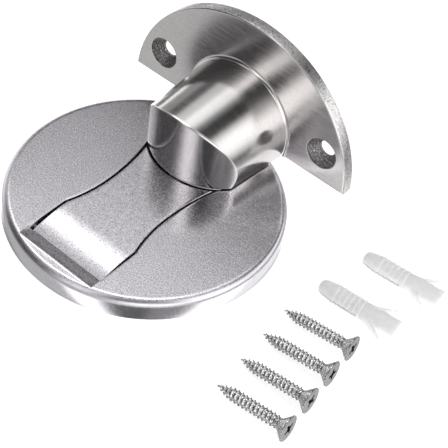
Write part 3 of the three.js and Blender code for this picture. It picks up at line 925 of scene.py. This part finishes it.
def satin_metal(
    name, tint, grain, roughness=0.2, bump=0.05, speckle=0.0, anisotropy=0.0, axis=None, top_only=False
):
    """Brushed metal, with grain as brush marks per metre along each axis.

    Speckle and bump stay on the top where top_only is set, and anisotropy runs round axis.
    """
    material = bpy.data.materials.new(name)
    material.use_nodes = True
    nodes = Nodes(material.node_tree)
    marks = noise(nodes, stretched(nodes, grain), 1.0, 4.0, 0.65)
    clouds = noise(nodes, stretched(nodes, EVEN), CLOUDS_PER_METRE, 3.0, 0.55)
    grit = noise(nodes, stretched(nodes, EVEN), GRIT_PER_METRE, 0.0, 0.5)
    if top_only:
        facing = nodes.add("ShaderNodeTexCoord").outputs["Normal"]
        upward = nodes.add("ShaderNodeSeparateXYZ", {0: facing}).outputs[2]
        speckle = nodes.remap(upward, *TOP_FROM_TO, 0.0, speckle)
        bump = nodes.remap(upward, *TOP_FROM_TO, 0.0, bump)
    deepest = nodes.math("MAXIMUM", nodes.math("SUBTRACT", 1.0, speckle), 0.1)
    pits = nodes.remap(grit, 0.24, 0.37, deepest, 1.0)
    sparks = nodes.remap(grit, 0.65, 0.75, 1.0, nodes.math("ADD", 1.0, speckle))
    shade_by = nodes.product(nodes.product(pits, sparks), nodes.remap(marks, 0.3, 0.7, 0.95, 1.04))
    shade_by = nodes.product(shade_by, nodes.remap(clouds, 0.3, 0.7, 0.96, 1.03))
    colour = nodes.add("ShaderNodeVectorMath", {0: tint, 3: shade_by}, operation="SCALE").outputs[0]
    rough = nodes.remap(marks, 0.25, 0.75, roughness * 0.8, roughness * 1.25)
    if top_only:
        below_top = nodes.remap(upward, 0.9, 0.995, 1.0, 0.0)
        soft_edge = nodes.product(nodes.remap(upward, 0.1, 0.35), below_top)
        rough = nodes.product(rough, nodes.remap(soft_edge, 0.0, 1.0, 1.0, 1.6))
    height = nodes.math("ADD", nodes.product(marks, 0.6), nodes.product(grit, 0.4))
    bumped = nodes.add("ShaderNodeBump", {"Height": height, "Strength": bump, "Distance": 0.0001})
    inputs = {
        "Base Color": colour, "Metallic": 1.0, "Roughness": rough, "Normal": bumped.outputs[0],
        "Anisotropic": anisotropy,
    }
    if axis:
        tangent = nodes.add("ShaderNodeTangent", direction_type="RADIAL", axis=axis)
        inputs["Tangent"] = tangent.outputs[0]
    surface = nodes.add("ShaderNodeBsdfPrincipled", inputs)
    nodes.add("ShaderNodeOutputMaterial", {"Surface": surface.outputs[0]})
    return material


def soft_solid(name, tint, roughness, grain, bump, subsurface=0.0, depth=0.001):
    """Plastic, nylon or foam, with a fine uneven surface."""
    material = bpy.data.materials.new(name)
    material.use_nodes = True
    nodes = Nodes(material.node_tree)
    pores = noise(nodes, stretched(nodes, EVEN), grain, 3.0, 0.6)
    shade_by = nodes.remap(pores, 0.3, 0.7, 0.93, 1.04)
    colour = nodes.add("ShaderNodeVectorMath", {0: tint, 3: shade_by}, operation="SCALE").outputs[0]
    bumped = nodes.add("ShaderNodeBump", {"Height": pores, "Strength": bump, "Distance": 0.0002})
    surface = nodes.add(
        "ShaderNodeBsdfPrincipled",
        {
            "Base Color": colour,
            "Roughness": nodes.remap(pores, 0.3, 0.7, roughness * 0.85, roughness * 1.15),
            "Normal": bumped.outputs[0],
            "Subsurface Weight": subsurface,
            "Subsurface Radius": (1.0, 0.95, 1.0),
            "Subsurface Scale": depth,
        },
    )
    nodes.add("ShaderNodeOutputMaterial", {"Surface": surface.outputs[0]})
    return material


def paint(piece, *materials):
    """Gives a piece its materials. Clearing resets which one each face takes, so only old ones go."""
    if piece.data.materials:
        piece.data.materials.clear()
    for material in materials:
        piece.data.materials.append(material)


COOL_NICKEL = (0.70, 0.68, 0.72)
WARM_NICKEL = (0.70, 0.68, 0.675)
# Each metal: name, tint, grain, roughness, bump, speckle, anisotropy and its axis.
disc_metal = satin_metal("satin_nickel_disc", COOL_NICKEL, (900, 2400, 900), 0.2, 0.07, 0.7, top_only=True)
flap_metal = satin_metal("satin_nickel_flap", COOL_NICKEL, (2600, 1300, 900), 0.25, 0.04, 0.5)
plate_metal = satin_metal("satin_nickel_plate", WARM_NICKEL, (160, 900, 3200), 0.22, 0.05, 0.08)
# The door holes' countersinks and bores get a dark grey tint: painted shade in the recess, not a finish of
# their own.
hole_painted_shade_metal = satin_metal("countersunk_hole_painted_shade", (0.28, 0.27, 0.27), (900, 900, 900), 0.6, 0.6, 3.0)
rim_metal = satin_metal("plate_rim", (0.66, 0.64, 0.64), (1100, 1100, 1100), 0.3, 0.3, 1.2)
boss_metal = satin_metal("satin_nickel_boss", WARM_NICKEL, (200, 3400, 200), 0.16, 0.05, 0.04, 0.35, "Y")
zinc = satin_metal("zinc_plated_steel", (0.62, 0.62, 0.63), (1400, 1400, 1400), 0.24, 0.1, 0.1)
thread_zinc = satin_metal("zinc_thread", (0.54, 0.54, 0.54), (1400, 1400, 1400), 0.2, 0.4, 0.9)
head_zinc = satin_metal("zinc_head", (0.27, 0.27, 0.27), (1400, 1400, 1400), 0.36, 0.3, 0.7)
# The cross recess is tinted near-black: painted shade in the recess, not a finish of its own.
cross_painted_shade_zinc = satin_metal("zinc_cross_painted_shade", (0.05, 0.05, 0.05), (1400, 1400, 1400), 0.5, 0.3, 0.6)
steel = satin_metal("bare_steel", (0.50, 0.50, 0.51), (400, 2200, 900), 0.34, 0.1, 0.1)
magnet_skin = satin_metal("magnet_nickel", (0.74, 0.73, 0.70), (900, 900, 900), 0.12, 0.03)
nylon = soft_solid("milky_nylon", (0.98, 0.97, 0.985), 0.42, 900, 0.12, 0.6, 0.0015)
foam = soft_solid("pad_foam", (0.022, 0.022, 0.023), 0.9, 2400, 0.5)
spacer_plastic = soft_solid("spacer_plastic", (0.045, 0.045, 0.05), 0.5, 1500, 0.1)

disc = make_disc()
flap = make_flap()
plate = make_plate()
boss = make_boss()
for piece, node, body, *materials in (
    (disc, "floor_disc", "floor_base", disc_metal),
    (flap, "flap", "flap", flap_metal),
    (plate, "door_plate", "door_bracket", plate_metal, hole_painted_shade_metal, rim_metal),
    (boss, "magnet_boss", "door_bracket", boss_metal),
):
    paint(piece, *materials)
    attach(piece, body)
    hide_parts(node)

screws = place_screws()
for screw in screws:
    paint(screw, thread_zinc, head_zinc, cross_painted_shade_zinc)
anchors = place_anchors()
for anchor in anchors:
    paint(anchor, nylon)

HIDDEN_FINISH = {
    "floor_pad": foam,
    "hinge_pin": steel,
    "flap_armature": steel,
    "armature_rivet_1": steel,
    "armature_rivet_2": steel,
    "magnet": magnet_skin,
    "magnet_yoke": steel,
    "magnet_spacer": spacer_plastic,
    "boss_screw_1": zinc,
    "boss_screw_2": zinc,
}
for name, material in HIDDEN_FINISH.items():
    paint(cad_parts[name], material)

# ---------------------------------------------------------------- studio


FLOOR_HALF = 3000 * MM
FLOOR_GLOW = 0.62


def make_floor():
    half = FLOOR_HALF
    mesh = bpy.data.meshes.new("studio_floor")
    corners = [(-half, -half, 0), (half, -half, 0), (half, half, 0), (-half, half, 0)]
    mesh.from_pydata(corners, [], [(0, 1, 2, 3)])
    floor = bpy.data.objects.new("studio_floor", mesh)
    bpy.context.scene.collection.objects.link(floor)
    material = bpy.data.materials.new("pale_floor")
    material.use_nodes = True
    nodes = Nodes(material.node_tree)
    surface = nodes.add(
        "ShaderNodeBsdfPrincipled",
        {
            "Base Color": (0.9, 0.9, 0.9, 1),
            "Roughness": 0.9,
            "Emission Color": (1, 1, 1, 1),
            "Emission Strength": FLOOR_GLOW,
        },
    )
    nodes.add("ShaderNodeOutputMaterial", {"Surface": surface.outputs[0]})
    mesh.materials.append(material)
    floor.visible_glossy = False
    floor.visible_shadow = False


# Soft cards round the set: (azimuth from, to, elevation from, to, softness, brightness), in degrees.
# Azimuth 0 is towards +X and 90 towards +Y.
SIDE_CARDS = [
    (-15, 22, -1, 60, 7, 2.0),
    (-178, -112, -8, 52, 8, 0.05),
    (-178, -112, -90, -20, 9, 0.58),
    (-108, -87, 22, 75, 5, 1.7),
    (-108, -79, -90, -30, 5, 1.8),
    (-80, -10, -34, -8, 7, 0.8),
    (-62, -20, -4, 30, 6, 2.0),
    (-82, -52, 26, 82, 5, 0.01),
    (-52, -36, 42, 82, 5, 0.02),
    (-36, -18, 24, 75, 7, 0.2),
    (-71, -38, -90, -34, 5, 0.12),
    (-40, -14, -90, -34, 5, 0.3),
    (-4, 42, -90, -30, 6, 1.8),
    (42, 100, -90, -33, 8, 1.15),
    (100, 155, -90, -20, 8, 2.2),
    (158, 181, -25, 12, 6, 1.3),
    (-181, -170, -25, 12, 6, 1.3),
]
# An arch of light behind the set, over the door plate: turn about Y, from +X up over the top, and brightness.
ARCH = [
    (-180, 0.15), (-170, 0.2), (-160, 0.5), (-133, 0.6), (-115, 0.8), (-97, 0.5), (-73, 0.55),
    (-49, 0.62), (-25, 0.36), (-13, 0.12), (-4, 0.7), (7, 1.3), (23, 1.6), (36, 1.35), (45, 0.7),
    (53, 0.04), (70, 0.01), (80, 0.25), (90, 1.2), (104, 1.5), (112, 0.85), (120, 0.78), (126, 0.7),
    (132, 0.14), (143, 0.1), (152, 0.34), (168, 0.34),
]
# The arch's brightness where its colour ramp is white, and where it fades in as y of the direction grows.
ARCH_FULL = 2.0
ARCH_FADE = (0.36, 0.46)
# Brightness of the room, from low down to overhead.
ROOM_LIGHT = (0.5, 0.62)
# Overhead cards: x from, to, y from, to of the direction towards them, and brightness.
TOP_CARDS = [
    (-0.6, 0.0, 0.66, 0.95, 0.32),
    (-0.6, 0.0, 0.568, 0.66, 0.05),
    (-0.62, 0.0, 0.13, 0.38, 2.6),
]
TOP_SOFT_X = 0.06
TOP_SOFT_Y = 0.03
TOP_FADE = (0.3, 0.5)


def make_world():
    world = bpy.data.worlds.new("studio")
    bpy.context.scene.world = world
    world.use_nodes = True
    nodes = Nodes(world.node_tree)
    direction = nodes.add("ShaderNodeTexCoord").outputs["Generated"]
    x, y, z = nodes.add("ShaderNodeSeparateXYZ", {0: direction}).outputs
    azimuth = nodes.product(nodes.math("ARCTAN2", y, x), 1 / DEG)
    elevation = nodes.product(nodes.math("ARCSINE", z), 1 / DEG)

    def inside(value, low, high, soft):
        rise = nodes.remap(value, low - soft, low + soft, smooth=True)
        fall = nodes.remap(value, high - soft, high + soft, 1.0, 0.0, smooth=True)
        return nodes.product(rise, fall)

    light = nodes.remap(z, -0.6, 0.9, *ROOM_LIGHT)
    turn = nodes.remap(nodes.product(nodes.math("ARCTAN2", z, x), 1 / DEG), -180, 180)
    ramp = nodes.add("ShaderNodeValToRGB", {0: turn})
    for i, (angle, brightness) in enumerate(ARCH):
        at = (angle + 180) / 360
        stop = ramp.color_ramp.elements[0] if i == 0 else ramp.color_ramp.elements.new(at)
        stop.position = at
        stop.color = (brightness / ARCH_FULL,) * 3 + (1,)
    arch = nodes.product(ramp.outputs[0], ARCH_FULL)
    mask = nodes.remap(y, *ARCH_FADE, smooth=True)
    light = nodes.add("ShaderNodeMix", {0: mask, 2: light, 3: arch}).outputs[0]
    for a0, a1, e0, e1, soft, brightness in SIDE_CARDS:
        mask = nodes.product(inside(azimuth, a0, a1, soft), inside(elevation, e0, e1, soft))
        light = nodes.add("ShaderNodeMix", {0: mask, 2: light, 3: brightness}).outputs[0]
    for x0, x1, y0, y1, brightness in TOP_CARDS:
        mask = nodes.product(inside(x, x0, x1, TOP_SOFT_X), inside(y, y0, y1, TOP_SOFT_Y))
        mask = nodes.product(mask, nodes.remap(z, *TOP_FADE))
        light = nodes.add("ShaderNodeMix", {0: mask, 2: light, 3: brightness}).outputs[0]
    background = nodes.add("ShaderNodeBackground", {"Color": (1, 1, 1, 1), "Strength": light})
    nodes.add("ShaderNodeOutputWorld", {"Surface": background.outputs[0]})


# Camera, as turned round the object: degrees, millimetres, and the focal length in widths of the sensor.
CAMERA = {
    "azimuth": 31.6, "elevation": 46.92, "roll": 10.76, "distance": 223.51,
    "across": 16.91, "up": -0.4, "focal": 2.36212,
}
CAMERA_NEAR = 10
SENSOR = 36.0


def make_camera():
    a, e, r = (CAMERA[k] * DEG for k in ("azimuth", "elevation", "roll"))
    back = Vector((math.sin(a) * math.cos(e), -math.cos(a) * math.cos(e), math.sin(e)))
    right = Vector((math.cos(a), math.sin(a), 0))
    up = back.cross(right)
    x_axis = right * math.cos(r) + up * math.sin(r)
    y_axis = up * math.cos(r) - right * math.sin(r)
    place = right * CAMERA["across"] + up * CAMERA["up"] + back * CAMERA["distance"]
    data = bpy.data.cameras.new("camera")
    data.sensor_width = SENSOR
    data.lens = CAMERA["focal"] * SENSOR
    data.clip_start = CAMERA_NEAR * MM
    camera = bpy.data.objects.new("camera", data)
    bpy.context.scene.collection.objects.link(camera)
    turn = Matrix((x_axis, y_axis, back)).transposed().to_4x4()
    camera.matrix_world = Matrix.Translation(place * MM) @ turn
    bpy.context.scene.camera = camera


make_floor()
make_world()
make_camera()
bpy.context.scene.view_settings.view_transform = "Standard"
